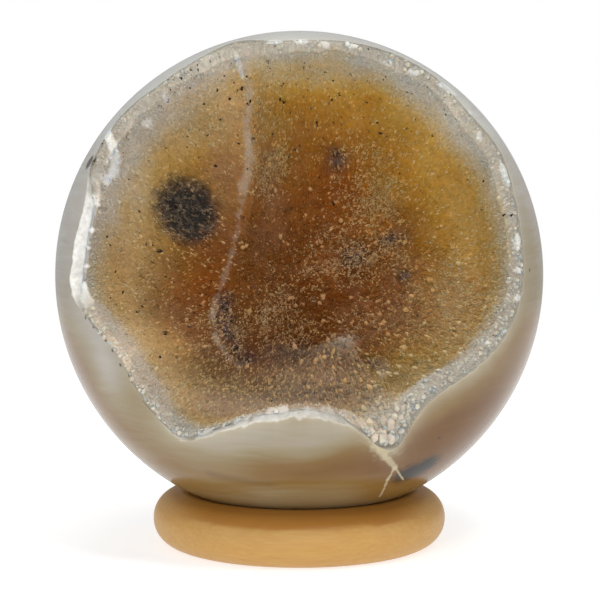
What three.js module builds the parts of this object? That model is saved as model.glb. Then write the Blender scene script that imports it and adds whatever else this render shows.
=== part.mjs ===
// Agate geode sphere on a turned wooden ring.
// Units are millimetres, +Z is up and the hollow faces -Y.
import * as THREE from 'three';

// Driving dimensions.
const SPHERE_R = 42;
const HOLLOW_TILT_DEG = 20;
const HOLLOW_FLOOR = -2;
const CRUST_EDGE = 0.95;
const CRUST_GAP = 0.3;
const CRUST_BED = 1.5;
const CRUST_RIM = 1.0;
const CRYSTAL_RISE = 2.2;
const RING_MID_R = 20.7;
const RING_HALF_W = 4.4;
const RING_HALF_H = 4.6;
const RING_CORNER_R = 3.9;
const REST_GAP = 0.3;

// Mesh resolution: rings of the crystal field, of the wall, of the outside.
const CRYSTAL_RINGS = 24;
const WALL_RINGS = 12;
const OUTER_ROWS = 16;
const RING_STEPS = 48;
const CORNER_STEPS = 4;

// Rim of the hollow: turn about its axis (0 right, 90 top) and angle from
// the axis at the sphere's centre, both in degrees.
const RIM = [
  [0, 62], [14, 61], [26, 64], [40, 60], [56, 63], [68, 62], [78, 57],
  [90, 55], [100, 57], [107, 64], [118, 60], [130, 59], [144, 64],
  [157, 64], [169, 59], [189, 66], [209, 57], [222, 59], [239, 64],
  [248, 53], [258, 47], [270, 44], [284, 48], [292, 57], [301, 54],
  [318, 56], [336, 62], [352, 64],
];

// Lumps and lobes of the hollow's wall, seen along its axis: centre to the
// side and up, rise towards the opening, half-lengths and turn in degrees.
const LUMPS = [
  { name: 'upper ridge', at: [-9, 25], rise: 2.6, half: [2.4, 13], turn: 0 },
  { name: 'lower ridge', at: [-11, 7], rise: 2.2, half: [2.4, 9], turn: -12 },
  { name: 'left lobe', at: [-20, 10], rise: -2.2, half: [7, 8], turn: 0 },
  { name: 'right lobe', at: [5, 6], rise: -4.5, half: [12, 14], turn: 0 },
  { name: 'front mound', at: [8, -19], rise: 4.2, half: [8, 5], turn: 12 },
  { name: 'mound recess', at: [19, -19], rise: -1.6, half: [4, 4], turn: 0 },
  { name: 'left swell', at: [-22, -13], rise: 2.0, half: [9, 6], turn: 30 },
  { name: 'right swell', at: [24, 4], rise: 1.8, half: [6, 9], turn: 0 },
];

const tilt = THREE.MathUtils.degToRad(HOLLOW_TILT_DEG);
const AXIS = new THREE.Vector3(0, -Math.cos(tilt), Math.sin(tilt));
const SIDE = new THREE.Vector3(1, 0, 0);
const RISE = new THREE.Vector3(0, Math.sin(tilt), Math.cos(tilt));
const FOCUS = AXIS.clone().multiplyScalar(12);

/** Repeatable random numbers from 0 to 1. */
function seededRandom(seed) {
  let state = seed;
  return () => {
    state = (state * 1664525 + 1013904223) % 4294967296;
    return state / 4294967296;
  };
}

/** Angle of the rim from the hollow's axis at one turn, in radians. */
function rimAngle(turn) {
  const deg = ((THREE.MathUtils.radToDeg(turn) % 360) + 360) % 360;
  const count = RIM.length;
  let k = count - 1;
  while (k > 0 && RIM[k][0] > deg) k -= 1;
  const knot = (n) => {
    const lap = Math.floor(n / count);
    const [x, y] = RIM[n - lap * count];
    return [x + 360 * lap, y];
  };
  const [a, b, c, d] = [knot(k - 1), knot(k), knot(k + 1), knot(k + 2)];
  const span = c[0] - b[0];
  const t = (deg - b[0]) / span;
  const slopeB = ((c[1] - a[1]) / (c[0] - a[0])) * span;
  const slopeC = ((d[1] - b[1]) / (d[0] - b[0])) * span;
  const value =
    (2 * t ** 3 - 3 * t ** 2 + 1) * b[1] +
    (t ** 3 - 2 * t ** 2 + t) * slopeB +
    (3 * t ** 2 - 2 * t ** 3) * c[1] +
    (t ** 3 - t ** 2) * slopeC;
  return THREE.MathUtils.degToRad(value);
}

/** Angle of the even opening that the ragged rim wavers about. */
function evenRimAngle(turn) {
  const low = Math.max(0, -Math.sin(turn));
  return THREE.MathUtils.degToRad(60 - 8 * low * low);
}

/** Point given by its place across the hollow and its height on the axis. */
function fromHollow(side, rise, height) {
  return new THREE.Vector3()
    .addScaledVector(SIDE, side)
    .addScaledVector(RISE, rise)
    .addScaledVector(AXIS, height);
}

/** Even bowl of the hollow: reach 0 is the middle, reach 1 is the rim. */
function bowlPoint(reach, turn) {
  const even = evenRimAngle(turn);
  const angle = even + (rimAngle(turn) - even) * reach ** 3;
  const back = 1 - reach;
  const dip = back * (2 - (2 - Math.PI / 2) * back);
  const out = SPHERE_R * Math.sin(angle) * Math.cos(dip);
  const rimHeight = SPHERE_R * Math.cos(angle);
  const height = HOLLOW_FLOOR + (rimHeight - HOLLOW_FLOOR) * (1 - Math.sin(dip));
  return fromHollow(out * Math.cos(turn), out * Math.sin(turn), height);
}

/** Height of the lumps at a point of the bowl, fading out at the rim. */
function lumpRise(point, reach) {
  const side = point.dot(SIDE);
  const rise = point.dot(RISE);
  let sum = 0;
  for (const lump of LUMPS) {
    const angle = THREE.MathUtils.degToRad(lump.turn);
    const dx = side - lump.at[0];
    const dy = rise - lump.at[1];
    const u = (dx * Math.cos(angle) + dy * Math.sin(angle)) / lump.half[0];
    const v = (dy * Math.cos(angle) - dx * Math.sin(angle)) / lump.half[1];
    sum += lump.rise * Math.exp(-(u * u + v * v));
  }
  return sum * (1 - reach ** 6);
}

/** Point of the hollow's stone wall, lifted off it by some millimetres. */
function wallPoint(reach, turn, lift) {
  const bowl = bowlPoint(reach, turn);
  const inward = FOCUS.clone().sub(bowl).normalize();
  return bowl.addScaledVector(inward, lumpRise(bowl, reach) + lift);
}

/** Disc of triangles in hexagonal rings, with every third corner a peak. */
function hexDisc(rings) {
  const steps = [[1, 0], [0, 1], [-1, 1], [-1, 0], [0, -1], [1, -1]];
  const corners = [{ ring: 0, turn: 0, peak: true }];
  const triangles = [];
  const index = (ring, n) => {
    if (ring === 0) return 0;
    return 1 + 3 * ring * (ring - 1) + (n % (6 * ring));
  };
  for (let ring = 1; ring <= rings; ring += 1) {
    for (let n = 0; n < 6 * ring; n += 1) {
      const sector = Math.floor(n / ring);
      const m = n % ring;
      const from = steps[sector];
      const to = steps[(sector + 1) % 6];
      const i = from[0] * (ring - m) + to[0] * m;
      const j = from[1] * (ring - m) + to[1] * m;
      const peak = (i - j) % 3 === 0;
      corners.push({ ring, turn: (Math.PI / 3) * (n / ring), peak });
      const inner = sector * (ring - 1) + m;
      triangles.push([index(ring, n), index(ring, n + 1), index(ring - 1, inner)]);
      if (m < ring - 1) {
        const row = ring - 1;
        triangles.push([index(ring, n + 1), index(row, inner + 1), index(row, inner)]);
      }
    }
  }
  return { corners, triangles, edgeStart: 1 + 3 * rings * (rings - 1) };
}

/** Band of triangles between two closed rows of corners, outer row first. */
function bandBetween(outer, inner) {
  const triangles = [];
  const ratio = outer.length / inner.length;
  for (let n = 0; n < inner.length; n += 1) {
    const next = (n + 1) % inner.length;
    for (let m = 0; m < ratio; m += 1) {
      const at = n * ratio + m;
      triangles.push([outer[at], outer[(at + 1) % outer.length], inner[n]]);
    }
    const last = ((n + 1) * ratio) % outer.length;
    triangles.push([outer[last], inner[next], inner[n]]);
  }
  return triangles;
}

/** Row of corner numbers from a first one. */
function row(start, count) {
  return Array.from({ length: count }, (_, n) => start + n);
}

/** Triangles turned to face the other way. */
function flipped(triangles) {
  return triangles.map(([a, b, c]) => [a, c, b]);
}

/** Closed mesh from points and triangles. */
function solid(name, points, triangles, color, roughness) {
  const geometry = new THREE.BufferGeometry();
  const numbers = points.flatMap((p) => [p.x, p.y, p.z]);
  geometry.setAttribute('position', new THREE.Float32BufferAttribute(numbers, 3));
  geometry.setIndex(triangles.flat());
  geometry.computeVertexNormals();
  const material = new THREE.MeshStandardMaterial({ color, roughness, metalness: 0 });
  const mesh = new THREE.Mesh(geometry, material);
  mesh.name = name;
  return mesh;
}

/** Polished ball of banded agate with the hollow sunk in its front. */
function agateSphere() {
  const wall = hexDisc(WALL_RINGS);
  const around = 6 * WALL_RINGS;
  const points = wall.corners.map(({ ring, turn }) =>
    wallPoint((CRUST_EDGE * ring) / WALL_RINGS, turn, 0));
  const triangles = [...wall.triangles];
  let previous = row(wall.edgeStart, around);
  for (let line = 0; line < OUTER_ROWS; line += 1) {
    const current = row(points.length, around);
    for (let n = 0; n < around; n += 1) {
      const turn = (2 * Math.PI * n) / around;
      const rim = rimAngle(turn);
      const angle = rim + ((Math.PI - rim) * line) / OUTER_ROWS;
      const out = SPHERE_R * Math.sin(angle);
      const height = SPHERE_R * Math.cos(angle);
      points.push(fromHollow(out * Math.cos(turn), out * Math.sin(turn), height));
    }
    triangles.push(...bandBetween(current, previous));
    previous = current;
  }
  const pole = points.length;
  points.push(fromHollow(0, 0, -SPHERE_R));
  previous.forEach((corner, n) => {
    triangles.push([corner, pole, previous[(n + 1) % around]]);
  });
  return solid('agate_sphere', points, triangles, 0xa3988a, 0.12);
}

/** One crust of pointed crystals lining the hollow. */
function druzyCrust() {
  const random = seededRandom(7);
  const front = hexDisc(CRYSTAL_RINGS);
  const points = front.corners.map(({ ring, turn, peak }) => {
    const edge = ring === CRYSTAL_RINGS;
    const shift = edge ? 0 : 0.55;
    const sway = ring > 0 ? ((Math.PI / 3) * shift * (random() - 0.5)) / ring : 0;
    const reach = (CRUST_EDGE * (ring + shift * (random() - 0.5))) / CRYSTAL_RINGS;
    const growth = CRYSTAL_RISE * (0.45 + 1.1 * random() ** 2);
    const lift = CRUST_BED + (peak ? growth : 0);
    const sure = ring === 0 ? 0 : reach;
    return wallPoint(sure, turn + sway, edge ? CRUST_RIM : lift);
  });
  const triangles = [...front.triangles];
  const back = hexDisc(WALL_RINGS);
  const start = points.length;
  for (const { ring, turn } of back.corners) {
    points.push(wallPoint((CRUST_EDGE * ring) / WALL_RINGS, turn, CRUST_GAP));
  }
  for (const triangle of flipped(back.triangles)) {
    triangles.push(triangle.map((corner) => corner + start));
  }
  const frontEdge = row(front.edgeStart, 6 * CRYSTAL_RINGS);
  const backEdge = row(start + back.edgeStart, 6 * WALL_RINGS);
  triangles.push(...flipped(bandBetween(frontEdge, backEdge)));
  return solid('druzy_crust', points, triangles, 0x94703f, 0.35);
}

/** Rounded outline of the wooden ring's section, about its own middle. */
function ringSection() {
  const outline = [];
  const centres = [[1, 1], [-1, 1], [-1, -1], [1, -1]];
  centres.forEach(([sx, sz], quarter) => {
    const x = sx * (RING_HALF_W - RING_CORNER_R);
    const z = sz * (RING_HALF_H - RING_CORNER_R);
    for (let n = 0; n <= CORNER_STEPS; n += 1) {
      const angle = (Math.PI / 2) * (quarter + n / CORNER_STEPS);
      outline.push([
        x + RING_CORNER_R * Math.cos(angle),
        z + RING_CORNER_R * Math.sin(angle),
      ]);
    }
  });
  return outline;
}

/** Turned wooden ring that the ball rests in, standing on the table. */
function woodenRing() {
  const outline = ringSection();
  const points = [];
  const triangles = [];
  for (let step = 0; step < RING_STEPS; step += 1) {
    const turn = (2 * Math.PI * step) / RING_STEPS;
    for (const [x, z] of outline) {
      const out = RING_MID_R + x;
      points.push(new THREE.Vector3(out * Math.cos(turn), out * Math.sin(turn), z));
    }
  }
  for (let step = 0; step < RING_STEPS; step += 1) {
    const here = step * outline.length;
    const next = ((step + 1) % RING_STEPS) * outline.length;
    for (let n = 0; n < outline.length; n += 1) {
      const m = (n + 1) % outline.length;
      triangles.push([here + n, next + n, next + m], [here + n, next + m, here + m]);
    }
  }
  return solid('wooden_ring', points, triangles, 0xcda366, 0.45);
}

/** Height of the ball's centre over the ring's middle plane, at rest. */
function restHeight() {
  const cornerOut = RING_MID_R - RING_HALF_W + RING_CORNER_R;
  const cornerUp = RING_HALF_H - RING_CORNER_R;
  const touch = SPHERE_R + RING_CORNER_R + REST_GAP;
  return cornerUp + Math.sqrt(touch * touch - cornerOut * cornerOut);
}

/** Moves a mesh's own points, so that it keeps its place in the frame. */
function placed(mesh, shift) {
  mesh.geometry.translate(shift.x, shift.y, shift.z);
  return mesh;
}

const sphere = agateSphere();
const extent = new THREE.Box3().setFromObject(sphere);
const middleY = (extent.min.y + extent.max.y) / 2;
const ringCentre = new THREE.Vector3(0, -middleY, RING_HALF_H);
const sphereCentre = new THREE.Vector3(0, -middleY, RING_HALF_H + restHeight());

const geode = new THREE.Group();
geode.name = 'agate_geode_sphere';
geode.add(placed(sphere, sphereCentre));
geode.add(placed(druzyCrust(), sphereCentre));
geode.add(placed(woodenRing(), ringCentre));

export default geode;
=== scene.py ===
# %% [markdown]
# # An agate geode ball on a wooden ring
#
# The real object is one nodule of agate, ground and polished into a ball.
# Its natural hollow breaks through the front, lined with tiny quartz
# crystals, which collectors call druse. The ball rests in a turned ring.
#
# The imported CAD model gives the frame: where each piece is and how large.
# Everything here is worked out in millimetres about the ball's centre, and
# turned into metres in the frame only when a mesh is made.

import math

import bpy
import numpy as np
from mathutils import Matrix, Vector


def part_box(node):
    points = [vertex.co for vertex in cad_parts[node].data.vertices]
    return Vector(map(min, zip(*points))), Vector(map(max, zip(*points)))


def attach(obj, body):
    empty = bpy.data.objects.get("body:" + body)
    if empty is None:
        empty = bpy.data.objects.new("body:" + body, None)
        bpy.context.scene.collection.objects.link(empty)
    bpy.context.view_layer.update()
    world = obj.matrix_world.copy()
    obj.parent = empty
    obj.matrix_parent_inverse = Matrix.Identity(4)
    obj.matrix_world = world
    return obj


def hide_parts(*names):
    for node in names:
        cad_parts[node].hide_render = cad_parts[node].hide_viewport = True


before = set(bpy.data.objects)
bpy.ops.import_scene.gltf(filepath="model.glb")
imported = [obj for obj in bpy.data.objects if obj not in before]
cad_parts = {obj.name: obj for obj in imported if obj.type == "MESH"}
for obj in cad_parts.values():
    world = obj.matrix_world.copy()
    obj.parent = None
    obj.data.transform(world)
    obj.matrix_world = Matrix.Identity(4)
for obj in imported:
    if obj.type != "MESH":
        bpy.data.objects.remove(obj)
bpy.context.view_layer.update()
print("CAD nodes:", sorted(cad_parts))

# %% Sizes that drive the shapes
MM = 0.001
BALL_R = 42.0
HOLLOW_TILT = math.radians(20)
HOLLOW_FLOOR = -2.0

ring_low, ring_high = (np.array(corner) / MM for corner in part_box("wooden_ring"))
ball_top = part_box("agate_sphere")[1][2] / MM
RING_R = (ring_high[0] - ring_low[0]) / 2
RING_HALF_H = (ring_high[2] - ring_low[2]) / 2
BALL_CENTRE = np.array([
    (ring_low[0] + ring_high[0]) / 2,
    (ring_low[1] + ring_high[1]) / 2,
    ball_top - BALL_R,
])
print("ball centre, mm:", BALL_CENTRE.round(2), " ring radius:", RING_R.round(2))

# %% Directions of the hollow
AXIS = np.array([0, -math.cos(HOLLOW_TILT), math.sin(HOLLOW_TILT)])
SIDE = np.array([1.0, 0, 0])
RISE = np.array([0, math.sin(HOLLOW_TILT), math.cos(HOLLOW_TILT)])
FOCUS = 12.0 * AXIS
print("the hollow leans up by", round(math.degrees(HOLLOW_TILT)), "degrees")

# %% [markdown]
# ## Small tools
#
# Rock has no straight lines, so most shapes here are a plain form plus soft
# random fields. Blender's noise textures could shift points in a modifier,
# but then the script couldn't use the same field to place crystals. A value
# noise in numpy is short, gives the same result on every run, and works on
# a hundred thousand points at once.


# %% Soft random fields
def lattice_value(cells, seed):
    """Repeatable random number from 0 to 1 for each whole-numbered cell.

    Each coordinate is multiplied by a large number, the products are mixed
    bit by bit, and the lowest 20 bits are the result."""
    x, y, z = (cells[..., n].astype(np.int64) for n in range(3))
    mixed = (x * 73856093) ^ (y * 19349663) ^ (z * 83492791) ^ (seed * 2654435)
    mixed = (mixed ^ (mixed >> 13)) * 1274126177
    return ((mixed ^ (mixed >> 16)) & 0xFFFFF) / 0xFFFFF


def soft_noise(points, cell, seed):
    """Noise from -1 to 1: cell corner values blended by a smooth step."""
    scaled = points / cell
    base = np.floor(scaled)
    part = scaled - base
    part = part * part * (3 - 2 * part)
    total = np.zeros(points.shape[:-1])
    for corner in np.ndindex(2, 2, 2):
        weight = np.prod(np.where(corner, part, 1 - part), axis=-1)
        total += weight * lattice_value(base + corner, seed)
    return 2 * total - 1


def layered_noise(points, cell, seed, layers=3):
    """Soft noise plus finer copies, each half as wide and half as strong."""
    total = np.zeros(points.shape[:-1])
    for layer in range(layers):
        total += soft_noise(points, cell / 2**layer, seed + layer) / 2**layer
    return total


def ease(value, start, end):
    """0 before start, 1 after end, and a smooth rise between them.

    The rise is three times the square of the share less twice its cube."""
    t = np.clip((value - start) / (end - start), 0, 1)
    return t * t * (3 - 2 * t)


print("noise at one point:", soft_noise(np.array([[1.0, 2.0, 3.0]]), 4.0, 1).round(3))


# %% Curves through listed points
def closed_curve(knots, turns):
    """Smooth closed curve through (degrees, value) knots, at many turns.

    Between two knots it is the cubic that meets both, with slopes taken
    from the knots on either side."""
    knots = np.array(knots, float)
    xs = np.concatenate([knots[-2:, 0] - 360, knots[:, 0], knots[:3, 0] + 360])
    ys = np.concatenate([knots[-2:, 1], knots[:, 1], knots[:3, 1]])
    deg = np.degrees(turns) % 360
    k = np.searchsorted(xs, deg, side="right") - 1
    span = xs[k + 1] - xs[k]
    t = (deg - xs[k]) / span
    slope0 = (ys[k + 1] - ys[k - 1]) / (xs[k + 1] - xs[k - 1]) * span
    slope1 = (ys[k + 2] - ys[k]) / (xs[k + 2] - xs[k]) * span
    return (
        (2 * t**3 - 3 * t**2 + 1) * ys[k]
        + (t**3 - 2 * t**2 + t) * slope0
        + (3 * t**2 - 2 * t**3) * ys[k + 1]
        + (t**3 - t**2) * slope1
    )


def path_distance(x, y, path):
    """Distance in a plane from many points to a bent line.

    The nearest place on a straight part is its start plus a share of its
    length, kept between 0 and 1. The least distance of all parts counts."""
    nearest = np.full(x.shape, np.inf)
    for (ax, ay), (bx, by) in zip(path[:-1], path[1:]):
        dx, dy = bx - ax, by - ay
        t = np.clip(((x - ax) * dx + (y - ay) * dy) / (dx * dx + dy * dy), 0, 1)
        nearest = np.minimum(nearest, np.hypot(x - ax - t * dx, y - ay - t * dy))
    return nearest


def oval_falloff(x, y, at, half, turn=0.0):
    """Bell-shaped weight, 1 in the middle of a turned oval and 0 far off.

    It is e to the minus square of the distance, counted in half sizes."""
    angle = math.radians(turn)
    dx, dy = x - at[0], y - at[1]
    u = (dx * math.cos(angle) + dy * math.sin(angle)) / half[0]
    v = (dy * math.cos(angle) - dx * math.sin(angle)) / half[1]
    return np.exp(-(u * u + v * v))


def add_ovals(value, side, rise, ovals):
    """Value plus soft ovals, each with its middle, half sizes, amount and turn."""
    for at, half, amount, *turn in ovals:
        value = value + amount * oval_falloff(side, rise, at, half, *turn)
    return value


print("middle of a soft oval:", add_ovals(0.0, 1.0, 2.0, [((1, 2), (3, 4), 0.5)]))


# %% [markdown]
# ## The hollow's form
#
# The hollow is described as a miner would: a ragged rim on the ball, a ledge
# of broken stone inside it, and a bowl behind. The rim is a closed curve of
# angles from the hollow's axis. The bowl is a quarter ellipse from the ledge
# to the floor, turned about the axis, with lumps and lobes added. The stone
# and the crystals both stand on this one surface, so they always meet.

# %% Rim, ledge and lumps, in degrees and millimetres
RIM = [
    (0, 62), (12, 61), (26, 63.5), (40, 60), (55, 63.5), (66, 62.5), (75, 59),
    (88, 55.5), (98, 56.5), (107, 63.5), (117, 60.5), (130, 59.5), (143, 64),
    (156, 64.5), (169, 59), (181, 62.7), (190, 66), (199, 62), (210, 57.5),
    (221, 58.5), (232, 62), (238, 63.8), (241.5, 62.1), (246, 57.6), (251, 53.2),
    (257, 49.4), (264.5, 47.3), (272, 46.5), (279, 48), (284.5, 51.2), (288.5, 56),
    (291.5, 60.8), (294.5, 62.6), (299, 60), (304, 56), (312, 55), (325, 58.6),
    (336, 62.4), (350, 63.3),
]
LEDGE = [
    (0, 1.6), (30, 1.5), (50, 1.0), (62, 1.4), (75, 0.9), (90, 0.8), (105, 1.4),
    (120, 1.0), (135, 1.0), (150, 1.3), (160, 1.2), (170, 1.4), (182, 2.0), (191, 1.8),
    (200, 0.9), (215, 0.6), (235, 0.7), (241, 0.8), (247, 1.0), (254, 1.1), (264, 1.2),
    (274, 1.2), (284, 1.3), (292, 2.4), (299, 3.6), (306, 3.0), (320, 2.3), (335, 1.8),
    (350, 1.5),
]
LEDGE_DROP = 0.45
LUMPS = [
    ((-9.5, 25), (3.0, 13), 1.6), ((-11.5, 7), (3.0, 9), 1.3, -12), ((-20, 10), (7, 8), -2.2),
    ((5, 6), (12, 14), -4.5), ((8, -19), (8, 5), 4.2, 12), ((19, -19), (4, 4), -1.6),
    ((-22, -13), (9, 6), 2.0, 30), ((24, 4), (6, 9), 1.8),
]
CHIP_SEED = 11
RIM_LOOP_R = 36.0
RIDGE = [
    (-10.2, 36), (-8.5, 34), (-8.1, 30), (-8.5, 24), (-8.0, 21), (-8.6, 17), (-9.4, 14),
    (-10.0, 9), (-10.6, 6), (-11.6, 2), (-12.6, -1.5), (-13.9, -5), (-14.4, -8.5),
    (-13.4, -12.5), (-11.4, -16),
]
CREST_RISE = 1.1
CREST_LEFT = 3.0
CREST_RIGHT = 0.9
print("knots of the rim and of the ridge:", len(RIM), len(RIDGE))


# %% Surface of the hollow
def from_hollow(side, rise, height):
    """Points from their place across the hollow and height on its axis."""
    return side[..., None] * SIDE + rise[..., None] * RISE + height[..., None] * AXIS


def ball_point(angle, turn):
    """Points on the ball, from their angle off the hollow's axis.

    They lie the radius times the angle's sine out from the axis, and the
    radius times its cosine along it."""
    out = BALL_R * np.sin(angle)
    return from_hollow(out * np.cos(turn), out * np.sin(turn), BALL_R * np.cos(angle))


def rim_loop(turn):
    """Points of a circle about as wide as the rim, to read noise along it."""
    return RIM_LOOP_R * np.stack([np.cos(turn), np.sin(turn), 0 * turn], axis=-1)


def rim_angle(turn):
    """Angle of the polished edge from the axis, with small chips."""
    smooth = closed_curve(RIM, turn)
    loop = rim_loop(turn)
    chips = 0.35 * soft_noise(loop, 2.2, CHIP_SEED) + 0.3 * soft_noise(loop, 0.8, CHIP_SEED + 1)
    return np.radians(smooth + chips)


def even_rim_angle(turn):
    """Angle of the even opening that the ragged rim wavers about.

    It is 60 degrees above and falls to 52 below, with the sine squared."""
    low = np.maximum(0, -np.sin(turn))
    return np.radians(60 - 8 * low * low)


def bowl_point(reach, turn):
    """Even bowl behind the ledge: reach 0 is the middle, 1 the ledge.

    The way out follows a cosine and the height a sine, which together draw
    a quarter ellipse. The rim's wavering fades in with the cube of reach."""
    even = even_rim_angle(turn)
    angle = even + (np.radians(closed_curve(RIM, turn)) - even) * reach**3
    ledge = closed_curve(LEDGE, turn) * reach**3
    back = 1 - reach
    dip = back * (2 - (2 - math.pi / 2) * back)
    out = (BALL_R * np.sin(angle) - ledge) * np.cos(dip)
    top = BALL_R * np.cos(angle) - LEDGE_DROP * ledge
    height = HOLLOW_FLOOR + (top - HOLLOW_FLOOR) * (1 - np.sin(dip))
    return from_hollow(out * np.cos(turn), out * np.sin(turn), height)


def bowl_place(points):
    """Place of points across the hollow: to the side and up."""
    return points @ SIDE, points @ RISE


def crest_rise(side, rise):
    """Height of the ridge between the two lobes, steep on its right.

    It falls off exponentially with the distance from the ridge's line."""
    across, up = np.transpose(RIDGE[::-1])
    right = side > np.interp(rise, up, across)
    width = np.where(right, CREST_RIGHT, CREST_LEFT)
    return CREST_RISE * np.exp(-path_distance(side, rise, RIDGE) / width)


def lump_rise(points, reach):
    """Height of the lumps over the even bowl, fading out at the rim.

    The fade is 1 less the sixth power of reach."""
    side, rise = bowl_place(points)
    return add_ovals(crest_rise(side, rise), side, rise, LUMPS) * (1 - reach**6)


def hollow_surface(reach, turn, lift):
    """Points of the hollow: the wall up to reach 1, the ledge up to 2.

    The wall is the bowl with its lumps. The ledge goes straight from the
    bowl's edge to the polished edge on the ball. The lift goes towards the
    hollow's focus on the wall, and turns to the hollow's axis as the surface
    bends over onto the ledge."""
    reach, turn, lift = np.broadcast_arrays(reach, turn, lift)
    inside = np.minimum(reach, 1)
    base = bowl_point(inside, turn)
    inward = FOCUS - base
    inward /= np.linalg.norm(inward, axis=-1, keepdims=True)
    rise = lump_rise(base, inside) + lift
    share = np.clip(reach - 1, 0, 1)[..., None]
    bend = ease(reach, 0.9, 1.5)[..., None]
    base = base * (1 - share) + ball_point(rim_angle(turn), turn) * share
    return base + rise[..., None] * (inward * (1 - bend) + AXIS * bend)


floor_point = hollow_surface(np.zeros(1), 0, 0)
print("deepest wall point, mm from the ball's centre:", floor_point.round(1))


# %% Making mesh objects
def make_object(name, points, triangles, smooth):
    """Mesh object in the frame from millimetre points about the ball."""
    mesh = bpy.data.meshes.new(name)
    mesh.from_pydata((points + BALL_CENTRE) * MM, [], triangles.tolist())
    mesh.polygons.foreach_set("use_smooth", np.full(len(triangles), smooth))
    mesh.validate()
    thing = bpy.data.objects.new(name, mesh)
    bpy.context.scene.collection.objects.link(thing)
    print(f"{name}: {len(points)} points, {len(mesh.polygons)} faces")
    return thing


def add_values(thing, values, domain="POINT"):
    """Stores numbers per point or face for the material, 0 where none is given."""
    for name, numbers in values.items():
        attribute = thing.data.attributes.new(name, "FLOAT", domain)
        stored = np.zeros(len(attribute.data), np.float32)
        stored[:len(numbers)] = numbers
        attribute.data.foreach_set("value", stored)


def grid_triangles(rows, around):
    """Triangles between rows of a grid that closes around."""
    row, col = np.meshgrid(np.arange(rows - 1), np.arange(around), indexing="ij")
    a = row * around + col
    b = row * around + (col + 1) % around
    c, d = a + around, b + around
    return np.concatenate([
        np.stack([a, b, d], -1).reshape(-1, 3),
        np.stack([a, d, c], -1).reshape(-1, 3),
    ])


print("triangles between 3 rows of 8 points:", len(grid_triangles(3, 8)))


# %% [markdown]
# ## The stone
#
# The ball could be a sphere with the hollow cut out by a boolean, but a
# boolean leaves ragged slivers along the rim, where the eye looks first. One
# grid that runs from the hollow's floor, over the ledge and round the outside
# to the back keeps the rim as one clean row of points. Rows are packed
# closely where the stone is broken and wide apart where it is polished.

# %% Stone grid
STONE_AROUND = 800
WALL_ROWS = 12
LEDGE_ROWS = 16
OUTER_ROWS = 94
LEDGE_ROUGH = 0.22


def stone_points():
    """Grid of the stone: wall rows, ledge rows, then polished rows.

    The ledge bulges like a parabola between its edges, with noise on it. The
    polished rows start closely packed at the rim, because their way to the
    back grows with the power 1.6 of their number."""
    turn = 2 * math.pi * np.arange(STONE_AROUND) / STONE_AROUND
    wall = hollow_surface(np.linspace(0.02, 1, WALL_ROWS)[:, None], turn, 0)

    share = np.linspace(0, 1, LEDGE_ROWS + 2)[1:-1, None]
    ledge = hollow_surface(1 + share, turn, 0)
    bulge = 4 * share * (1 - share)
    width = closed_curve(LEDGE, turn)
    rough = 0.5 * layered_noise(ledge, 1.6, 21) + 0.5 * np.abs(soft_noise(ledge, 0.7, 27))
    lift = bulge * (0.05 * width + LEDGE_ROUGH * rough * np.minimum(width, 1.5))
    ledge = ledge + lift[..., None] * AXIS

    fraction = np.linspace(0, 1, OUTER_ROWS, endpoint=False)[:, None]
    rim = rim_angle(turn)
    ball = ball_point(rim + (math.pi - rim) * fraction**1.6, turn)
    return np.concatenate([wall, ledge, ball])


print("rows of the stone grid:", WALL_ROWS + LEDGE_ROWS + OUTER_ROWS)

# %% White broken quartz
WHITENESS = [
    (0, 0.05), (20, 0.1), (40, 0), (90, 0), (130, 0), (150, 0.05), (160, 0.15),
    (165, 0.5), (170, 0.85), (176, 1.0), (189, 1.0), (193, 0.6), (198, 0.1), (225, 0.1),
    (236, 0.25), (244, 0.42), (258, 0.52), (272, 0.48), (284, 0.25), (290, 0.1),
    (297, 0.1), (330, 0.1), (348, 0.1),
]
FLECKS = [
    ((-10.2, 32.6), (0.45, 1.9), 25), ((-4.2, 34.3), (1.5, 0.4)), ((0.3, 34.2), (1.2, 0.55)),
    ((4.3, 33.9), (0.9, 0.5)), ((8.9, 34.2), (1.1, 0.4)), ((15.2, 32.2), (0.6, 0.5)),
    ((19.4, 30.6), (1.3, 0.5), -15), ((25.0, 27.2), (1.9, 0.7), -40), ((28.6, 23.1), (0.4, 0.7), 15),
    ((30.1, 19.0), (0.4, 0.8), 15), ((34.3, 12.2), (0.5, 3.0), 15), ((36.1, 0.6), (0.6, 1.5)),
    ((-25.8, 22.5), (1.0, 0.5), 20), ((-22.4, 25.7), (0.5, 0.4)), ((36.0, -4.0), (0.5, 0.5)),
    ((33.6, -14.3), (0.5, 0.4)), ((36.0, -8.7), (0.5, 0.6)), ((30.9, -16.4), (0.5, 0.4)),
]
WHITE_PATCH = [(-32.2, 20.9), (-31.8, 18.6), (-31.0, 16.6), (-31.4, 14.2), (-32.6, 12.2)]


def beyond_rim(points, turn):
    """Distance in millimetres along the ball from the polished edge.

    It is the ball's radius times the angle past the edge, or 0 inside."""
    angle = np.arccos(np.clip(points @ AXIS / np.linalg.norm(points, axis=-1), -1, 1))
    return BALL_R * np.maximum(angle - rim_angle(turn), 0)


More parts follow.
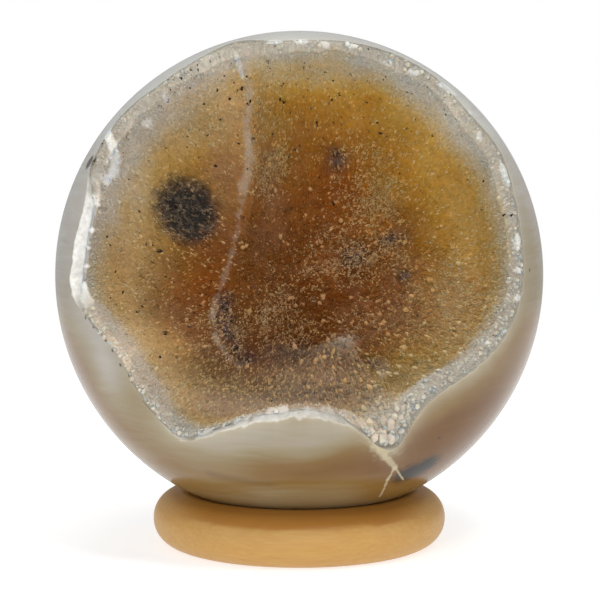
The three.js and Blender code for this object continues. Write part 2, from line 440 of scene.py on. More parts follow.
def white_quartz(points, turn, reach):
    """White broken quartz: a strip along the ledge and a few flat flecks.

    The strip spills a little over the polished edge, so it looks ragged."""
    side, rise = bowl_place(points)
    ragged = 0.35 * soft_noise(points, 1.1, 61) + 0.25 * soft_noise(points, 0.45, 62)
    spill = np.where(reach < 1.9, 1, 1 - ease(beyond_rim(points, turn) + ragged, 0.1, 0.45))
    strip = closed_curve(WHITENESS, turn) * ease(reach, 0.99, 1.04) * spill
    strip = np.maximum(strip, 0.1 * ease(rise, 27, 35) * (reach < 1.9) * (reach > 0.5))
    front = points @ AXIS > 0
    for at, half, *lean in FLECKS:
        fleck = oval_falloff(side, rise, at, half, *lean)
        strip = np.maximum(strip, 0.75 * ease(fleck + 0.3 * ragged, 0.3, 0.5) * front)
    patch = path_distance(side, rise, WHITE_PATCH) + 1.2 * ragged
    strip = np.maximum(strip, (1 - ease(patch, 0.5, 1.0)) * (reach < 1.9) * (reach > 0.5))
    patches = 0.5 + 0.5 * soft_noise(points, 1.6, 63) + ragged
    return strip * ease(strip + 0.8 * patches, 0.45, 0.95)


print("white flecks by the rim:", len(FLECKS))

# %% Brown zones, and cloudy stone by the rim
BROWN_ZONES = [
    ((0, -20, -37), (16, 12, 8), -0.1), ((29, -23, -25), (13, 11, 7), 0.85),
    ((24, -24, -27), (9, 9, 5), 0.4), ((37, -14, -10), (10, 10, 10), 0.4),
    ((38, -14, 6), (9, 12, 12), 0.22), ((5, -31, -28), (15, 9, 3.5), 0.27),
    ((0, -25, -33), (12, 9, 3), -0.06), ((-38, -13, -14), (8, 8, 12), 0.36),
    ((-33, -22, -13), (6, 7, 7), -0.32), ((-30, -19, -23), (5, 6, 5), 0.15),
    ((18, -30, -24), (5, 5, 5), 0.3), ((-17, -28, -26), (9, 9, 6), -0.06),
    ((-14, -32, -23), (9, 8, 6), -0.24), ((3, -36, -21), (11, 9, 4.5), -0.16),
    ((12, 36, 10), (20, 20, 20), 0.6), ((-26, 24, -18), (15, 15, 15), 0.3),
]


def brown_zones(points):
    """Brown parts of the agate, from grey 0 to deep brown 1.

    The base deepens downwards in smooth steps: partly the agate's own brown,
    partly painted reflection and shade of the ring under the ball. Each zone
    adds its amount times e to the minus square of the distance, counted in
    its sizes. The first zone, which lightens the bottom in front, is painted
    light in the shade by the ring."""
    warped = points + 2.5 * np.stack([
        soft_noise(points, 11, seed) for seed in (71, 72, 73)
    ], -1)
    low = -warped[..., 2]
    value = 0.14 - 0.14 * ease(-low, 12, 30) + 0.38 * ease(low, 0, 18) + 0.14 * ease(low, 21, 32)
    value += 0.06 * soft_noise(points, 7, 74)
    for at, half, amount in BROWN_ZONES:
        away = np.linalg.norm((warped - at) / half, axis=-1)
        value = value + amount * np.exp(-(away**2))
    return np.clip(value, 0, 1)


HAZE = [
    (0, 0.2), (20, 0.25), (40, 0.35), (90, 0.35), (130, 0.25), (155, 0.05), (190, 0.05),
    (215, 0.15), (240, 0.45), (255, 0.65), (280, 0.6), (300, 0.6), (330, 0.5), (345, 0.3),
]


def rim_haze(points, turn):
    """Cloudy stone beside the polished edge: thick at the edge, then thin.

    Two exponential fades are added, one over 1 mm and one over 3.5 mm."""
    away = beyond_rim(points, turn)
    fade = 0.4 * np.exp(-away / 1.0) + 0.6 * np.exp(-away / 3.5)
    uneven = 1 + 0.3 * soft_noise(points, 2.5, 66)
    return closed_curve(HAZE, turn) * fade * uneven


print("brown at the back of the ball:", brown_zones(-BALL_R * AXIS[None]).round(2))


# %% Stone
def build_stone():
    """Closed stone mesh, with a point at the floor and one at the back."""
    grid = stone_points()
    rows, around = grid.shape[:2]
    points = grid.reshape(-1, 3)
    triangles = grid_triangles(rows, around)[:, ::-1]
    points = np.concatenate([points, floor_point, -BALL_R * AXIS[None]])
    this = np.arange(around)
    following = (this + 1) % around
    last = (rows - 1) * around
    floor_fan = np.stack([this, following, 0 * this + len(points) - 2], -1)
    back_fan = np.stack([last + following, last + this, 0 * this + len(points) - 1], -1)
    triangles = np.concatenate([triangles, floor_fan, back_fan])
    stone = make_object("Agate_ball", points, triangles, smooth=True)
    inside = np.arange(rows * around) < (WALL_ROWS + LEDGE_ROWS) * around
    reach = np.concatenate([np.where(inside, 1.5, 2.0), [1, 2]])
    turn = np.arctan2(points @ RISE, points @ SIDE)
    add_values(stone, {
        "broken": np.concatenate([inside, [1, 0]]),
        "white": white_quartz(points, turn, reach),
        "haze": rim_haze(points, turn),
        "brown": brown_zones(points),
    })
    return stone


stone = build_stone()

# %% [markdown]
# ## The druse
#
# Druse is thousands of quartz points, each six-sided, standing shoulder to
# shoulder. Scattering separate crystals would leave gaps, so the bed is one
# mesh on a triangle lattice instead. Colour such a lattice with three
# colours so that no two neighbours match, lift one colour, and each lifted
# point gets exactly six flat faces: a quartz tip. Random shifts hide the
# lattice, and a tip's height follows how coarse the crystals are there.


# %% Lattice of tips
def hex_disc(rings):
    """Corner rings, places in the ring, tip flags and triangles.

    A ring has six sectors with as many steps as its number. A corner is a
    tip when the difference of its two lattice counts is a multiple of 3."""
    sizes = 6 * np.arange(1, rings + 1)
    ring = np.repeat(np.arange(1, rings + 1), sizes)
    place = np.arange(sizes.sum()) - np.repeat(np.cumsum(sizes) - sizes, sizes)
    sector, step = place // ring, place % ring
    ways = np.array([[1, 0], [0, 1], [-1, 1], [-1, 0], [0, -1], [1, -1]])
    start = ways[sector] * (ring - step)[:, None]
    cell = start + ways[(sector + 1) % 6] * step[:, None]
    tip = (cell[:, 0] - cell[:, 1]) % 3 == 0

    def number(rings_at, places):
        wrapped = places % np.maximum(6 * rings_at, 1)
        return np.where(rings_at > 0, 1 + 3 * rings_at * (rings_at - 1) + wrapped, 0)

    inner = sector * (ring - 1) + step
    outward = np.stack([
        number(ring, place), number(ring, place + 1), number(ring - 1, inner)
    ], -1)
    keep = step < ring - 1
    between = np.stack([
        number(ring, place + 1), number(ring - 1, inner + 1), number(ring - 1, inner)
    ], -1)[keep]
    ring = np.concatenate([[0], ring])
    place = np.concatenate([[0], place])
    tip = np.concatenate([[True], tip])
    return ring, place, tip, np.concatenate([outward, between])


def shift_on_disc(ring, place, amount, rng):
    """Places of the corners as reach in rings and turn, moved at random.

    The turn is the place in the ring times 60 degrees over its number."""
    count = len(ring)
    turn = (math.pi / 3) * place / np.maximum(ring, 1)
    moved = ring + amount * (rng.random(count) - 0.5)
    sway = (math.pi / 3) * amount * (rng.random(count) - 0.5) / np.maximum(ring, 1)
    return np.where(ring > 0, moved, 0), np.where(ring > 0, turn + sway, 0)


print("corners of a disc of 3 rings:", len(hex_disc(3)[0]))


# %% Where the crystals are coarse, and how they are stained
COARSE_OVALS = [
    ((22, -12), (16, 14), 0.35), ((8, -18), (12, 8), 0.25), ((0, 2), (14, 14), 0.2),
    ((14, 26), (14, 12), -0.3),
]
NOTCH_BLOCKS = [((12.5, -28.5), (3, 4), 0.8)]
WARM_OVALS = [
    ((-25, 21), (15, 13), -0.15), ((2, 24), (9, 7), 0.1), ((5, 31), (13, 4), 0.06),
    ((-14, 20), (6, 6), 0.1), ((-18.5, -9), (5, 6), 0.3), ((0, -7), (9, 6), 0.12),
    ((0, -18), (13, 10), 0.25), ((27, 8), (9, 22), -0.12), ((15, -20), (5, 5), -0.2),
    ((24, -21), (9, 5), -0.25, 40), ((-26, -17), (6, 12), -0.16, 30),
    ((17.5, 27), (5, 4), -0.12), ((28, -9), (8, 10), 0.1), ((-34, 11), (5, 10), 0.04),
    ((33, 4), (4, 14), 0.1), ((-30, 13), (5, 8), -0.25), ((13, -27), (6, 4), -0.3),
]


def coarseness(side, rise, reach):
    """Size of the crystals, from sugar-fine 0 to coarse 1.

    A middle value plus soft ovals, made fine by the rim."""
    value = add_ovals(0.35, side, rise, COARSE_OVALS) * (1 - 0.75 * ease(reach, 0.8, 0.97))
    return np.clip(add_ovals(value, side, rise, NOTCH_BLOCKS), 0.05, 1)


def rim_nearness(side, rise, turn):
    """How far out a place is: 0 in the middle and 1 at the polished edge."""
    return np.hypot(side, rise) / (BALL_R * np.sin(np.radians(closed_curve(RIM, turn))))


def warmth(points, side, rise, turn):
    """Iron stain, from grey 0 at the rim to deep red-brown 1."""
    near = rim_nearness(side, rise, turn)
    value = 1 - 0.2 * near - 0.4 * ease(near, 0.2, 0.85) - 0.5 * ease(near, 0.82, 0.98)
    value = add_ovals(value, side, rise, WARM_OVALS)
    return np.clip(value + 0.08 * layered_noise(points, 6.0, 31), 0, 1)


print("coarseness in the middle:", coarseness(0.0, 0.0, 0.0).round(2))

# %% Where the druse glitters
# Where crystals are painted with glints, and where the grit stands thickest.
GLINTS = [
    ((-5.0, 19), (3.2, 4.5), 0.9), ((-5.5, 27), (2.5, 3), 0.2), ((12.5, 13), (4.5, 4), 1.1),
    ((6.5, 3.8), (5, 3.2), 1.0), ((14, 5), (4, 3), 0.35), ((-3.5, -6), (4.5, 5), 0.5),
    ((-4, -12), (6, 3), 0.25), ((-16, 25), (5, 4), 0.15), ((-6.5, -21), (9, 3), 0.35),
    ((9, -17), (6, 6), 0.4), ((23, -10), (8, 8), 0.25), ((31, -6), (5, 8), 0.2),
    ((-16.5, -9.5), (5, 6), 0.15), ((16, 1), (5, 5), 0.2), ((-12.5, -11), (3, 5), 0.3),
    ((-19.3, 10.4), (6, 6), 0.15), ((9, -8), (7, 4), 0.2), ((12.5, -28.5), (2.6, 3.6), 0.8),
    ((12, 21), (6, 3), 0.2),
]
SMOOTH = [
    ((17, 26), (7, 3.5)), ((-3.5, 9.5), (3.5, 4)), ((24, 12), (6, 9)), ((0, 15), (3, 5)),
    ((-12, 13), (3, 8)), ((-20, 20), (6, 5)), ((-31, 12), (5, 10)), ((6.5, -4), (4, 2)),
]


def glitter(points):
    """Share of the crystals that glint at a place, 0 to about 1; their glints are painted pale on
    their faces.
    """
    side, rise = bowl_place(points)
    near = rim_nearness(side, rise, np.arctan2(rise, side))
    share = add_ovals(0.05 + 0.03 * ease(near, 0.84, 0.97), side, rise, GLINTS)
    for at, half in SMOOTH:
        share = share * (1 - 0.85 * oval_falloff(side, rise, at, half))
    return share * np.clip(1 + 1.1 * soft_noise(points, 1.6, 91), 0.15, 2)


print("glitter at the floor:", glitter(floor_point).round(3))

# %% Painted light and shade on the druse
# Ovals of painted light and shade: a plus amount lightens the druse, a minus one darkens it.
SHADES = [
    ((-5, 31), (24, 7), 0.33), ((4, 20), (30, 11), 0.15), ((28, 10), (9, 22), 0.22),
    ((-29, 12), (7, 14), 0.18), ((-24, 24), (8, 7), 0.18), ((-29, -16), (7, 10), 0.22),
    ((-22.5, 2.5), (5, 9), -0.12), ((-16, -16.5), (4, 4), -0.2), ((1.8, -14.3), (8, 3), -0.25),
    ((-5.7, 29), (3, 4), -0.2), ((19, 11), (4, 6), -0.08), ((10, 8), (8, 6), 0.1),
    ((-9, 16), (3, 7), 0.1), ((5.3, 3), (3, 3), 0.25), ((2, -7), (5, 5), -0.1),
    ((-5, -4), (3, 4), 0.12), ((-15, -5), (3, 5), 0.12), ((16, -26), (5, 3), 0.2),
    ((15.5, -18.5), (3, 3), -0.25), ((-8, -14), (4, 3), -0.12), ((1, -22.5), (9, 3), -0.25),
    ((34, -6), (3, 10), -0.05), ((22, 7), (7, 3), -0.15), ((6, -4), (4, 2), -0.1),
    ((-12, 32), (6, 4), 0.2), ((-5, 8), (4, 5), 0.06), ((-5, 18), (2.5, 3), 0.2),
    ((5.3, -2), (3, 9), 0.1), ((-20, -24), (6, 4), 0.15), ((-25.5, -8), (3, 4), -0.15),
    ((-10, -7.5), (3, 3), -0.12), ((-30, -19.5), (3, 3), 0.4), ((-20.5, -2.5), (3, 3), 0.2),
    ((-20, -13.5), (3.5, 3), 0.2), ((11, 10), (5, 5), 0.14), ((-10, 20), (3, 5), 0.12),
    ((30, -3), (3, 3), 0.15), ((25, 23), (3, 3), 0.12), ((-13, -20), (7, 5), -0.2),
    ((-3, -18), (5, 4), -0.15), ((0, -13.5), (3, 3), -0.2), ((10, 4), (3, 4), -0.15),
    ((25, 3), (4, 4), -0.12), ((-3, -8), (6, 4), -0.1), ((6, -25), (5, 3), -0.2),
    ((-27, -13), (3, 4), 0.12), ((-20, 13), (4, 4), 0.1), ((13, -29.5), (4, 4), 0.55),
    ((-6, -23.5), (6, 3), -0.15), ((-15, 12), (3, 4), -0.12), ((24, 24), (4, 4), 0.12),
    ((19, 17), (4, 4), 0.1), ((-25, -8), (4, 4), -0.12),
]


def shade(points, side, rise):
    """Painted light and shade on the druse, about a middle of 0.5."""
    value = add_ovals(0.5 + 0.06 * layered_noise(points, 5.0, 35), side, rise, SHADES)
    near = rim_nearness(side, rise, np.arctan2(rise, side))
    # Painted shade on the ledge, which faces the lights.
    value -= 0.22 * ease(near, 0.93, 1) * ease(rise, -8, 8)
    # Painted shade between the glints, where they are thick.
    return np.clip(value - 0.16 * np.minimum(glitter(points), 1), 0, 1)


print("shade at the floor:", shade(floor_point, *bowl_place(floor_point)).round(2))


# %% Bloom, rust, chalk and dark stains
MOUND_EDGE = [(-3.0, -12.4), (3.6, -13.2), (7.9, -12.0), (11.1, -17.3), (14.6, -22.5)]
BLOOM_OVALS = [
    ((-4, -24), (17, 5), 0.6), ((-30, -18), (4, 6), 0.25), ((-13, 18), (4, 8), 0.2),
    ((-30, 0), (7, 22), 0.4), ((-21, -16), (8, 9), 0.35), ((-20, 26), (10, 7), 0.35),
    ((26, -9), (11, 10), 0.35), ((-5, 19), (3, 6), 0.12), ((-9, -25.5), (10, 3.5), 0.5),
    ((-10, 28), (4, 5), 0.3), ((-5, 8), (4, 6), 0.1), ((-17, -9), (6, 7), -0.18),
]
RUST_OVALS = [
    ((8, -3), (12, 11), 0.6), ((25, 6), (6, 13), 0.35), ((7, 17), (7, 6), 0.9),
    ((-16, -1), (4, 6), 0.9), ((-2, -12), (8, 4), 0.8),
]
CHALK_OVALS = [
    ((8.0, -12.6), (1.8, 1.5), 0.6), ((14, -18.3), (1.0, 1.6), 0.35),
    ((-10.2, -16.6), (0.7, 0.7), 0.4), ((13, -28.5), (3, 3.6), 1.0),
]
VEIN = [(-12.9, -4.5), (-12.7, -8.5), (-11.7, -12), (-9.3, -15.6)]
VIOLET_OVALS = [
    ((6.6, 20.4), (1.8, 1.8), 0.9), ((9.6, 4.3), (2.4, 2.0), 0.9), ((15.9, 6.4), (2.0, 1.3), 0.9),
    ((18.0, -0.6), (1.2, 1.2), 0.9), ((12.4, -17.1), (2.2, 1.0), 0.9),
    # The oval right of the ridge is painted shade on the ridge's steep flank.
    ((-6.2, 17), (2.2, 5.0), 0.15), ((-3, -14.5), (9, 3), 0.3),
]
BLACK_SPOT = (-19.5, 11.0)
SPOT_HALO = (-19.6, 11.0)
NOTCH = (-34.6, 15.6)


def mound(points):
    """1 on the blunt mound at the front, with a sharp edge to the right."""
    side, rise = bowl_place(points)
    wobble = 0.6 * soft_noise(points, 1.7, 45)
    below = np.interp(side, *np.transpose(MOUND_EDGE)) - rise + wobble
    return ease(below, -0.3, 0.9) * ease(side, -9, 1) * (1 - ease(side, 14, 16))


def bloom(points, side, rise):
    """Greyish bloom on the front mound, the ridge and the left lobe."""
    value = (0.4 + 0.25 * ease(rise, -17, -13)) * mound(points)
    value = add_ovals(value, side, rise, BLOOM_OVALS)
    near = rim_nearness(side, rise, np.arctan2(rise, side))
    value = value * (1 - ease(near, 0.9, 0.98) * ease(rise, 0, 12))
    return np.clip(value + 0.08 * soft_noise(points, 2.5, 41), 0, 1)


def rust(side, rise):
    """Redder stain in the middle and to the right of it."""
    return np.clip(add_ovals(0.0, side, rise, RUST_OVALS), 0, 1)


def chalk(points, side, rise):
    """Pale lilac-beige line along the ridge, and a few pale patches."""
    line = path_distance(side + 0.5, rise, RIDGE) + 0.5 * soft_noise(points, 1.3, 42)
    thick = 0.5 + 0.65 * ease(rise, 12, 16) * (1 - 0.5 * ease(rise, 22, 25))
    strength = 0.25 + 0.2 * ease(rise, 12, 15) + 0.2 * ease(-rise, 3, 7)
    value = (1 - ease(line / thick, 0.35, 1.15)) * strength
    value = add_ovals(value, side, rise, CHALK_OVALS)
    return np.clip(value * (1 + 0.7 * soft_noise(points, 1.1, 46)), 0, 1)


def violet(points, side, rise):
    """Dark violet-brown patches: the vein, small stains, round the spot, and painted shade right of
    the ridge.
    """
    value = 1.1 * (1 - ease(path_distance(side, rise, VEIN), 0.4, 2.3))
    value *= 0.75 + 0.5 * soft_noise(points, 1.8, 44)
    value = add_ovals(value, side, rise, VIOLET_OVALS)
    from_spot = np.hypot(side - SPOT_HALO[0], rise - SPOT_HALO[1])
    value += 0.8 * (1 - ease(from_spot, 3.8, 6.7))
    return np.clip(value * (1 + 0.5 * soft_noise(points, 0.9, 43)), 0, 1)


def black_spot(points, side, rise):
    """The round near-black spot in the left lobe, and a dark notch."""
    away = np.hypot(side - BLACK_SPOT[0], (rise - BLACK_SPOT[1]) / 1.05)
    away = away + 0.8 * soft_noise(points, 1.3, 47) + 1.1 * soft_noise(points, 0.6, 48)
    notch = oval_falloff(side, rise, NOTCH, (0.6, 1.2))
    return np.maximum(1 - ease(away, 2.6, 6.4), ease(notch, 0.25, 0.6))


def stain_masks(points, turn, reach):
    """The colour masks of the druse, by name."""
    side, rise = bowl_place(points)
    return {
        "warmth": warmth(points, side, rise, turn),
        "shade": shade(points, side, rise),
        "bloom": bloom(points, side, rise),
        "rust": rust(side, rise),
        "chalk": chalk(points, side, rise),
        "violet": violet(points, side, rise),
        "black_spot": black_spot(points, side, rise),
        "white": white_quartz(points, turn, reach),
    }


middle_masks = stain_masks(floor_point, np.zeros(1), np.zeros(1))
print("masks at the floor:", {name: float(mask.round(2)[0]) for name, mask in middle_masks.items()})

# %% Marks on single faces
DUST_OVALS = [
    ((-12, 28), (22, 9), 0.014), ((-28, 5), (8, 16), 0.006), ((-25.0, -4.5), (3.5, 3.5), 0.05),
    ((-17, -9), (8, 9), 0.014),
]


def dust(points):
    """Share of the crystals that are black specks at a place."""
    side, rise = bowl_place(points)
    share = add_ovals(0.002, side, rise, DUST_OVALS)
    patchy = 1 + soft_noise(points, 3, 93)
    return share + 0.016 * oval_falloff(side, rise, (8, 27), (14, 6)) * patchy


def face_marks(points, grain, amount, rng):
    """Shade, painted glints and black specks, one value for each face.

    The glints are painted highlights, pale colour on a face. A tip with a low
    grain value glints on about half of its faces, and a few faces glint on
    their own. The amount scales all the glints."""
    pale = amount * glitter(points)
    chance = rng.random(len(points))
    glint = np.where(grain < 0.7 * pale, chance < 0.55, chance < 0.28 * pale)
    glint = glint * (0.2 + 0.5 * rng.random(len(points)))
    dusty = dust(points)
    pepper = ((1 - grain < dusty) & (chance < 0.6)) | (chance > 1 - 0.25 * dusty)
    return {"grain": grain, "glint": glint, "pepper": pepper * 1.0}


print("share of black specks at the floor:", dust(floor_point).round(4))


# %% Druse bed
BED_RINGS = 174
BED_WALL_RINGS = 162
BED_JITTER = 0.75
BED_LIFT = 0.9
BED_FILLET = 0.7
BACK_ROWS = [(1.0, 0.2), (0.94, 0.4), (0.8, 1.2), (0.6, 2.5), (0.35, 3.0)]
EDGE_SINK = 0.15
TIP_RISE = 0.42
BED_GLITTER = 0.6
COVER = [
    (0, 0.97), (60, 0.97), (120, 0.97), (150, 0.97), (160, 0.9), (167, 0.2), (188, 0.05),
    (196, 0.85), (230, 0.9), (241, 0.3), (250, 0.12), (282, 0.15), (290, 0.7),
    (298, 0.97), (330, 0.97), (350, 0.97),
]


def bed_end(turn):
    """Reach at which the bed ends on the ledge.

    It is 1 plus the covered share, which is ragged where it isn't full."""
    loop = rim_loop(turn)
    ragged = 0.2 * soft_noise(loop, 1.4, 55) + 0.15 * soft_noise(loop, 0.6, 56)
    cover = closed_curve(COVER, turn)
    return 1 + np.clip(cover + 1.3 * ragged * (1 - cover), 0.05, 0.97)


def bed_lift(bowl, turn, reach):
    """Thickness of the bed under its tips, thinning out over the ledge.

    It is an even thickness plus a bell-shaped fillet by the rim, low swells
    and the mound, all times a smooth fall to 0 at the bed's end."""
    fillet = BED_FILLET * np.exp(-(((reach - 0.9) / 0.08) ** 2))
    swell = 0.35 * layered_noise(bowl, 3.2, 51) + 0.9 * mound(bowl)
    end = bed_end(turn)
    left = 1 - ease(reach, 0.95 + 0.05 * (end - 1), end)
    return (BED_LIFT + fillet + swell) * left


def bed_back(edge_turn):
    """Rows of points behind the bed, sunk in the stone, and the middle."""
    reach, sink = np.array(BACK_ROWS).T[:, :, None]
    rows = hollow_surface(reach, edge_turn, -sink)
    middle = hollow_surface(np.zeros(1), 0, -sink[-1])
    return np.concatenate([rows.reshape(-1, 3), middle])


def back_triangles(edge_numbers, first):
    """Triangles from the bed's edge over the back rows to the middle."""
    around = len(edge_numbers)
    rows = len(BACK_ROWS)
    numbers = np.concatenate([edge_numbers, first + np.arange(rows * around)])
    triangles = numbers[grid_triangles(rows + 1, around)]
    last = numbers[-around:]
    fan = np.stack([last, np.roll(last, -1), 0 * last + first + rows * around], -1)
    return np.concatenate([triangles, fan])[:, ::-1]


def build_bed():
    """One faceted sheet of tips, closed by a plain sheet behind it."""
    rng = np.random.default_rng(5)
    ring, place, tip, triangles = hex_disc(BED_RINGS)
    at_ring, turn = shift_on_disc(ring, place, BED_JITTER, rng)
    edge = ring == BED_RINGS
    at_ring = np.where(edge, ring, at_ring)
    over = np.maximum(at_ring - BED_WALL_RINGS, 0) / (BED_RINGS - BED_WALL_RINGS)
    reach = np.minimum(at_ring / BED_WALL_RINGS, 1) + over * (bed_end(turn) - 1)
    bowl = bowl_point(np.minimum(reach, 1), turn)
    coarse = coarseness(*bowl_place(bowl), reach)
    growth = np.where(tip, 0.35 + 1.0 * rng.random(len(tip)) ** 1.5, 0.1 * rng.random(len(tip)))
    lift = bed_lift(bowl, turn, reach) + TIP_RISE * (0.35 + coarse) * growth
    lift = np.where(edge, -EDGE_SINK, lift)
    front = hollow_surface(reach, turn, lift)
    grain = rng.random(len(tip))
    back = bed_back(turn[edge])
    behind = back_triangles(np.flatnonzero(edge), len(front))

    bed = make_object(
        "Druse_bed", np.concatenate([front, back]), np.concatenate([triangles, behind]), False
    )
    add_values(bed, stain_masks(front, turn, reach))
    tip_corner = triangles[np.arange(len(triangles)), tip[triangles].argmax(axis=1)]
    marks = face_marks(front[tip_corner], grain[tip_corner], BED_GLITTER, rng)
    add_values(bed, marks, "FACE")
    return bed


bed = build_bed()

# %% [markdown]
# ## Larger crystals and grit
#
# Here and there a crystal outgrew its neighbours, most of all low on the
# right, and clear ones stand along the ledge. These are separate closed
# points: a six-sided prism sunk in the bed, with a six-sided tip, leaning a
# little off the wall. The glitter itself is finer grit, small low points
# that are thickest where the photo glitters, painted with glints: pale
# colour on their faces stands in for highlights. As flat faces of the bed
# it would look like thin dashes, because most of those faces are seen from
# the side.

# %% Shapes of one crystal and one grain
HEXAGON_TURNS = np.radians(60 * np.arange(6))
HEXAGON = 0.5 * np.stack([np.cos(HEXAGON_TURNS), np.sin(HEXAGON_TURNS)], -1)
HEXAGON_CAP = [[0, 2, 1], [0, 3, 2], [0, 4, 3], [0, 5, 4]]


def six_sided(heights, tip):
    """Points and triangles of a unit crystal: level hexagons, and a tip."""
    rings = [np.column_stack([HEXAGON, np.full(6, height)]) for height in heights]
    low, low_next = np.arange(6), (np.arange(6) + 1) % 6
    sides = []
    for _ in heights[1:]:
        high, high_next = low + 6, low_next + 6
        sides.append(np.stack([low, low_next, high_next], -1))
        sides.append(np.stack([low, high_next, high], -1))
        low, low_next = high, high_next
    sides.append(np.stack([low, low_next, 0 * low + 6 * len(heights)], -1))
    return np.concatenate([*rings, [[0, 0, tip]]]), np.concatenate([*sides, HEXAGON_CAP])


CRYSTAL = six_sided((-0.6, 0.35), 0.95)
GRAIN = six_sided((-0.35,), 0.6)
print("triangles in one crystal and one grain:", len(CRYSTAL[1]), len(GRAIN[1]))


# %% Where crystals and grains stand
TRIES_EACH = 12
WALL_END = 0.99
LEAN = 9.0
LEDGE_PULL = 30.0


def point_wanted(side, rise, reach):
    """Chance of a larger crystal: where the druse is coarse, and by the rim."""
    return coarseness(side, rise, reach) ** 2 + 0.25 * ease(reach, 0.9, 0.97)


def grit_wanted(side, rise, reach):
    """Chance of a grain: as strong as the glitter, and a few everywhere."""
    return 0.03 + glitter(from_hollow(side, rise, 0 * side))


def scatter(count, wanted, rng):
    """Reach and turn of crystals, spread by the chance at each place.

    The square root of an even random number spreads the tries evenly over a
    disc. Each try is kept with the chance of its place."""
    tries = TRIES_EACH * count
    reach = WALL_END * np.sqrt(rng.random(tries))
    turn = 2 * math.pi * rng.random(tries)
    side, rise = bowl_place(bowl_point(reach, turn))
    chosen = np.flatnonzero(rng.random(tries) < wanted(side, rise, reach))[:count]
    return reach[chosen], turn[chosen]


def stand_crystals(name, shape, reach, turn, width, length, rng):
    """Joined mesh of closed crystals standing on the bed, with its masks.

    Each crystal leans a little away from the line to the hollow's focus,
    or on the ledge from the hollow's axis."""
    unit, sides = shape
    count = len(reach)
    bowl = bowl_point(np.minimum(reach, 1), turn)
    root = hollow_surface(reach, turn, bed_lift(bowl, turn, reach))
    bend = ease(reach, 0.9, 1.5)[:, None]
    up = (FOCUS - bowl) * (1 - bend) + LEDGE_PULL * AXIS * bend
    up += LEAN * rng.normal(size=(count, 3))
    up /= np.linalg.norm(up, axis=1, keepdims=True)
    across = np.cross(up, rng.normal(size=(count, 3)))
    across /= np.linalg.norm(across, axis=1, keepdims=True)
    along = np.cross(up, across)
    offsets = (
        unit[None, :, 0, None] * (across * width[:, None])[:, None]
        + unit[None, :, 1, None] * (along * width[:, None])[:, None]
        + unit[None, :, 2, None] * (up * length[:, None])[:, None]
    )
    points = (root[:, None] + offsets).reshape(-1, 3)
    triangles = (sides[None] + len(unit) * np.arange(count)[:, None, None]).reshape(-1, 3)
    crystals = make_object(name, points, triangles, smooth=False)
    masks = stain_masks(root, turn, reach)
    add_values(crystals, {name: np.repeat(mask, len(unit)) for name, mask in masks.items()})
    return crystals, root


print("chance of a larger crystal in the middle:", point_wanted(0.0, 0.0, 0.0).round(2))

# %% Larger crystals
POINT_COUNT = 7000
POINT_GLITTER = 0.6
BIG_POINT = 0.75


def build_points():
    """All the larger crystals as one joined mesh."""
    rng = np.random.default_rng(9)
    reach, turn = scatter(POINT_COUNT, point_wanted, rng)
    count = len(reach)
    coarse = coarseness(*bowl_place(bowl_point(reach, turn)), reach)
    width = (0.32 + 0.6 * rng.random(count) ** 3) * (0.65 + 0.6 * coarse)
    length = width * (0.7 + 0.6 * rng.random(count))
    crystals, root = stand_crystals("Druse_crystals", CRYSTAL, reach, turn, width, length, rng)
    faces = len(CRYSTAL[1])
    grain = np.repeat(rng.random(count), faces)
    marks = face_marks(np.repeat(root, faces, axis=0), grain, POINT_GLITTER, rng)
    # A few big crystals get painted glints on all their faces.
    bright = (width > BIG_POINT) & (rng.random(count) < 0.2)
    marks["glint"] = np.maximum(marks["glint"], 0.55 * np.repeat(bright, faces))
    add_values(crystals, marks, "FACE")
    return crystals


crystals = build_points()

# %% Glassy crystals along the ledge
LEDGE_CRYSTAL_TRIES = 1700
LEDGE_CRYSTALS = [
    (0, 0.35), (40, 0.25), (90, 0.1), (150, 0.1), (165, 0), (193, 0), (205, 0.3),
    (235, 0.6), (246, 0.2), (280, 0.25), (290, 1), (300, 1), (335, 0.8),
]
LEDGE_FIRST_REACH = 0.97
LEDGE_SHARE = 0.72
BLOCKY = ((13, -29.5), (3, 3.5), 1.8)


def build_ledge_crystals():
    """Pale crystals standing on the covered part of the ledge."""
    rng = np.random.default_rng(17)
    turn = 2 * math.pi * rng.random(LEDGE_CRYSTAL_TRIES)
    turn = turn[rng.random(len(turn)) < closed_curve(LEDGE_CRYSTALS, turn)]
    count = len(turn)
    reach = LEDGE_FIRST_REACH + LEDGE_SHARE * (bed_end(turn) - 1) * rng.random(count)
    side, rise = bowl_place(bowl_point(np.minimum(reach, 1), turn))
    blocky = add_ovals(1.0, side, rise, [BLOCKY])
    width = (0.4 + 0.6 * rng.random(count) ** 3) * blocky
    length = width * (0.45 + 0.4 * rng.random(count))
    pale, _ = stand_crystals("Druse_ledge_crystals", CRYSTAL, reach, turn, width, length, rng)
    faces = len(CRYSTAL[1])
    # Painted glints on some faces, and a little pale colour on all the rest.
    chance = rng.random(count * faces)
    glint = np.where(chance < 0.3, 0.25 + 1.5 * chance, 0.2)
    add_values(pale, {"grain": np.repeat(rng.random(count), faces), "glint": glint}, "FACE")
    return pale


ledge_crystals = build_ledge_crystals()


# %% Grit
GRIT_COUNT = 19000


def build_grit():
    """The fine grains, painted with glints, as one joined mesh."""
    rng = np.random.default_rng(13)
    reach, turn = scatter(GRIT_COUNT, grit_wanted, rng)
    count = len(reach)
    width = 0.28 + 0.4 * rng.random(count) ** 2
    length = width * (0.8 + 0.5 * rng.random(count)) + 0.12
    grit, root = stand_crystals("Druse_grit", GRAIN, reach, turn, width, length, rng)
    faces = len(GRAIN[1])
    # Each grain is painted with one glint value on all its faces.
    glint = (0.12 + 0.62 * rng.random(count)) * (0.88 + 0.35 * np.minimum(glitter(root), 1))
    grain = rng.random(count)
    add_values(grit, {
        "grain": np.repeat(grain, faces),
        "glint": np.repeat(glint, faces),
    }, "FACE")
    return grit


